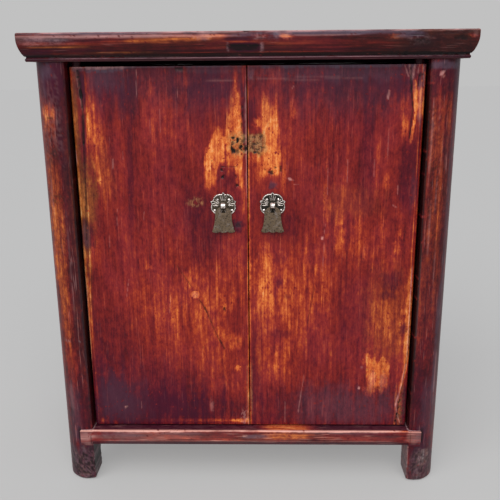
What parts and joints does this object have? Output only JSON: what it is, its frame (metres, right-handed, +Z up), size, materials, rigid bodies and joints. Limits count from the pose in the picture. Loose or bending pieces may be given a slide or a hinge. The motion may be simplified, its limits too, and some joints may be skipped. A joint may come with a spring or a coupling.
{
  "type": "cabinet",
  "caption": "Low lacquered wooden cabinet: moulded mitred top, rounded posts, lapped bottom rail, pivot-hung plank doors with swinging metal pulls, inner shelf.",
  "frame": {"origin": "on the floor, at the centre of the top board's outline", "axes": "+X to the right seen from the front, -Y the way the doors face, +Z up"},
  "size_m": [0.742, 0.41, 0.829],
  "materials": {
    "door_lacquer": "worn red lacquer, satin",
    "top_lacquer": "dark worn lacquer, satin",
    "post_lacquer": "dark worn lacquer, satin",
    "rail_lacquer": "dark worn lacquer, satin",
    "side_lacquer": "dark lacquer, satin",
    "back_wood": "bare aged wood, matt",
    "inner_wood": "bare aged wood, matt",
    "pull_metal": "aged, dull",
    "nails": "worn bright",
    "staples": "worn bright"
  },
  "bodies": {
    "cabinet": {"back_board_1": "back_wood", "back_board_2": "back_wood", "back_board_3": "back_wood", "back_bottom_rail": "back_wood", "back_post_left": "post_lacquer", "back_post_right": "post_lacquer", "back_top_rail": "back_wood", "floor_bearer": "inner_wood", "floor_board_back": "inner_wood", "floor_board_front": "inner_wood", "front_bottom_rail": "rail_lacquer", "front_post_left": "post_lacquer", "front_post_right": "post_lacquer", "shelf_bearer_left": "inner_wood", "shelf_bearer_right": "inner_wood", "shelf_board_back": "inner_wood", "shelf_board_front": "inner_wood", "side_bottom_rail_left": "side_lacquer", "side_bottom_rail_right": "side_lacquer", "side_panel_left": "side_lacquer", "side_panel_right": "side_lacquer", "side_top_rail_left": "side_lacquer", "side_top_rail_right": "side_lacquer", "top_batten_left": "inner_wood", "top_batten_right": "inner_wood", "top_board_back": "top_lacquer", "top_board_front": "top_lacquer", "top_frame_back": "top_lacquer", "top_frame_front": "top_lacquer", "top_frame_left": "top_lacquer", "top_frame_right": "top_lacquer"},
    "left_door": {"door_batten_high_left": "inner_wood", "door_batten_low_left": "inner_wood", "door_board_left": "door_lacquer", "door_strip_left": "door_lacquer", "pull_nails_left": "nails", "pull_plate_left": "pull_metal", "pull_staple_left": "staples"},
    "right_door": {"door_batten_high_right": "inner_wood", "door_batten_low_right": "inner_wood", "door_board_right": "door_lacquer", "door_strip_right": "door_lacquer", "pull_nails_right": "nails", "pull_plate_right": "pull_metal", "pull_staple_right": "staples"},
    "left_pendant": {"pull_pendant_left": "pull_metal"},
    "right_pendant": {"pull_pendant_right": "pull_metal"}
  },
  "joints": [
    {"name": "left_door_hinge", "type": "hinge", "parent": "cabinet", "child": "left_door", "pos_m": [-0.286, -0.1655, 0.11], "axis": [0, 0, -1], "range_deg": [0, 97]},
    {"name": "right_door_hinge", "type": "hinge", "parent": "cabinet", "child": "right_door", "pos_m": [0.286, -0.1655, 0.11], "axis": [0, 0, 1], "range_deg": [0, 97]},
    {"name": "left_pendant_swing", "type": "hinge", "parent": "left_door", "child": "left_pendant", "pos_m": [-0.043, -0.1841, 0.53935], "axis": [-1, 0, 0], "range_deg": [-8, 100]},
    {"name": "right_pendant_swing", "type": "hinge", "parent": "right_door", "child": "right_pendant", "pos_m": [0.043, -0.1841, 0.53935], "axis": [-1, 0, 0], "range_deg": [-8, 100]}
  ]
}
